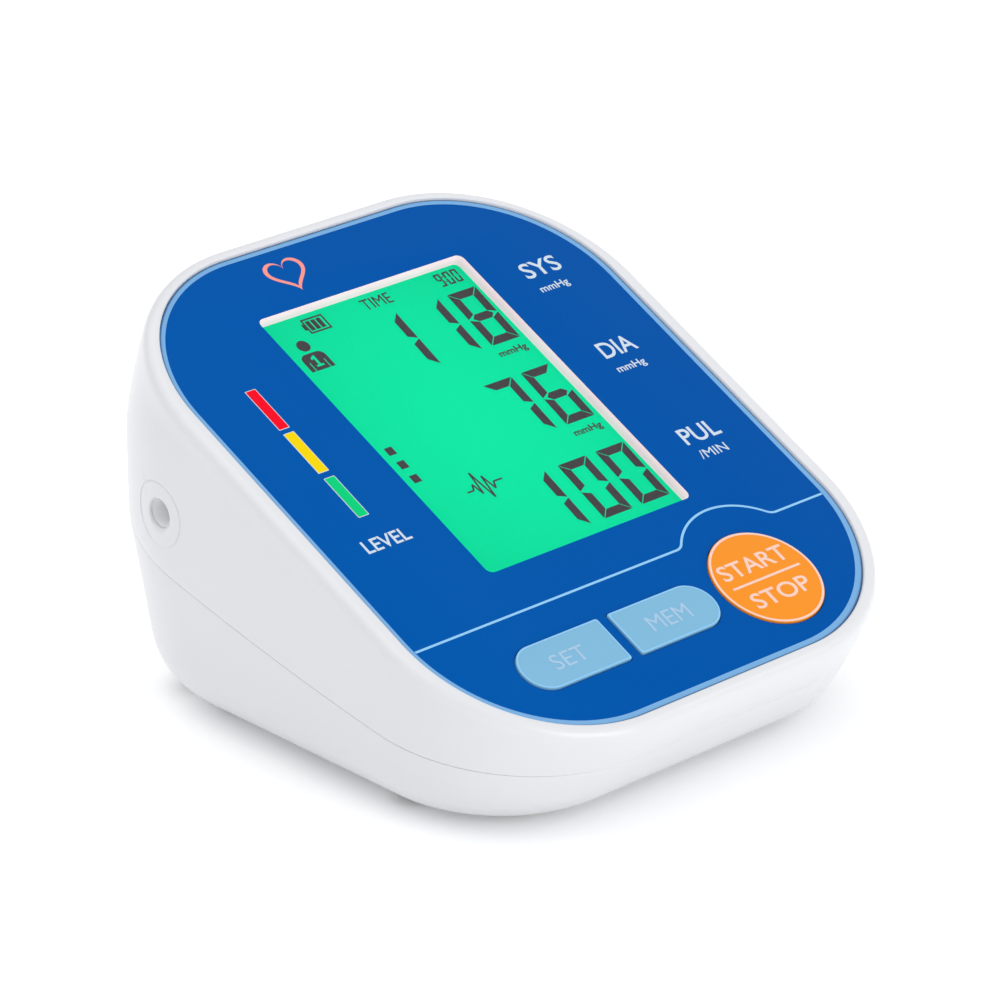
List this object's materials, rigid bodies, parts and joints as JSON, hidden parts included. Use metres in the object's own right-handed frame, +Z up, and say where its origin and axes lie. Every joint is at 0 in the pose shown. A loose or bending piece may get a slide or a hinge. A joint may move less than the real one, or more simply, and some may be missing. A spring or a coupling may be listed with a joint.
{
  "type": "upper arm blood pressure monitor",
  "caption": "Desktop blood pressure monitor with a sloping blue face, large backlit display, push keys, side air port, inner air pump and valve, and a sliding battery door.",
  "frame": {"origin": "on the table, under the middle of the case", "axes": "+Z up, +Y towards the back (high end of the face), +X to the user's right"},
  "size_m": [0.1024, 0.1062, 0.0694],
  "materials": {
    "case_white": "glossy moulded",
    "panel_blue": "glossy printed sheet",
    "clear_window": "clear",
    "key_light_blue": "satin",
    "key_orange": "satin",
    "display_green": "lit display cell",
    "inner_white_plastic": "matte",
    "board_green": "solder mask",
    "black_plastic": "matte",
    "parts_tan": "ceramic",
    "bright_metal": "bright",
    "can_blue": "sleeved can",
    "cell_jacket": "printed jacket",
    "dark_metal": "ferrite",
    "copper_winding": "enamelled",
    "dark_rubber": "matte",
    "silicone_hose": "translucent",
    "wire_red": "insulated",
    "wire_black": "insulated"
  },
  "bodies": {
    "case": {"upper_housing": "case_white", "lower_housing": "case_white", "front_panel": "panel_blue", "display_window": "clear_window", "display_glass": "display_green", "display_frame": "inner_white_plastic", "light_guide": "inner_white_plastic", "backlight_leds": "parts_tan", "display_connector": "dark_rubber", "main_board": "board_green", "board_chips": "black_plastic", "board_parts": "parts_tan", "crystal": "bright_metal", "capacitors": "can_blue", "buzzer": "black_plastic", "switch_bodies": "black_plastic", "pressure_sensor": "parts_tan", "pump_motor": "bright_metal", "pump_magnets": "dark_metal", "pump_crankcase": "inner_white_plastic", "pump_diaphragm": "dark_rubber", "pump_cover": "inner_white_plastic", "pump_clamp": "bright_metal", "pump_clamp_screws": "bright_metal", "valve_yoke": "bright_metal", "valve_coil": "copper_winding", "valve_spring": "bright_metal", "valve_nozzle": "inner_white_plastic", "air_manifold": "inner_white_plastic", "slow_leak_valve": "dark_rubber", "air_port": "inner_white_plastic", "port_hose": "silicone_hose", "pump_hose": "silicone_hose", "valve_hose": "silicone_hose", "sensor_hose": "silicone_hose", "dc_socket": "black_plastic", "battery_cells": "cell_jacket", "battery_springs": "bright_metal", "battery_plates": "bright_metal", "battery_wires": "wire_red", "pump_wires": "wire_black", "valve_wires": "wire_red", "socket_wires": "wire_black", "rubber_feet": "dark_rubber", "case_screws": "bright_metal", "board_screws": "bright_metal"},
    "set_key": {"set_button": "key_light_blue", "set_plunger": "black_plastic"},
    "mem_key": {"mem_button": "key_light_blue", "mem_plunger": "black_plastic"},
    "start_key": {"start_button": "key_orange", "start_plunger": "black_plastic"},
    "battery_cover": {"battery_door": "case_white"},
    "pump_drive": {"pump_rotor": "copper_winding"},
    "valve_armature": {"valve_core": "bright_metal"}
  },
  "joints": [
    {"name": "set_press", "type": "slide", "parent": "case", "child": "set_key", "axis": [0, 0.4384, -0.8988], "range_m": [0, 0.0005], "stiffness_N_per_m": 500, "springref_m": -0.0004},
    {"name": "mem_press", "type": "slide", "parent": "case", "child": "mem_key", "axis": [0, 0.4384, -0.8988], "range_m": [0, 0.0005], "stiffness_N_per_m": 500, "springref_m": -0.0004},
    {"name": "start_press", "type": "slide", "parent": "case", "child": "start_key", "axis": [0, 0.4384, -0.8988], "range_m": [0, 0.0005], "stiffness_N_per_m": 500, "springref_m": -0.0004},
    {"name": "battery_door_slide", "type": "slide", "parent": "case", "child": "battery_cover", "axis": [0, 1, 0], "range_m": [0, 0.05]},
    {"name": "pump_spin", "type": "hinge", "parent": "case", "child": "pump_drive", "pos_m": [0.016, 0.0372, 0.0365], "axis": [1, 0, 0], "continuous": true},
    {"name": "valve_close", "type": "slide", "parent": "case", "child": "valve_armature", "axis": [0, 0, 1], "range_m": [0, 0.0015], "stiffness_N_per_m": 60, "springref_m": -0.0015, "deforming": ["valve_spring"]}
  ]
}
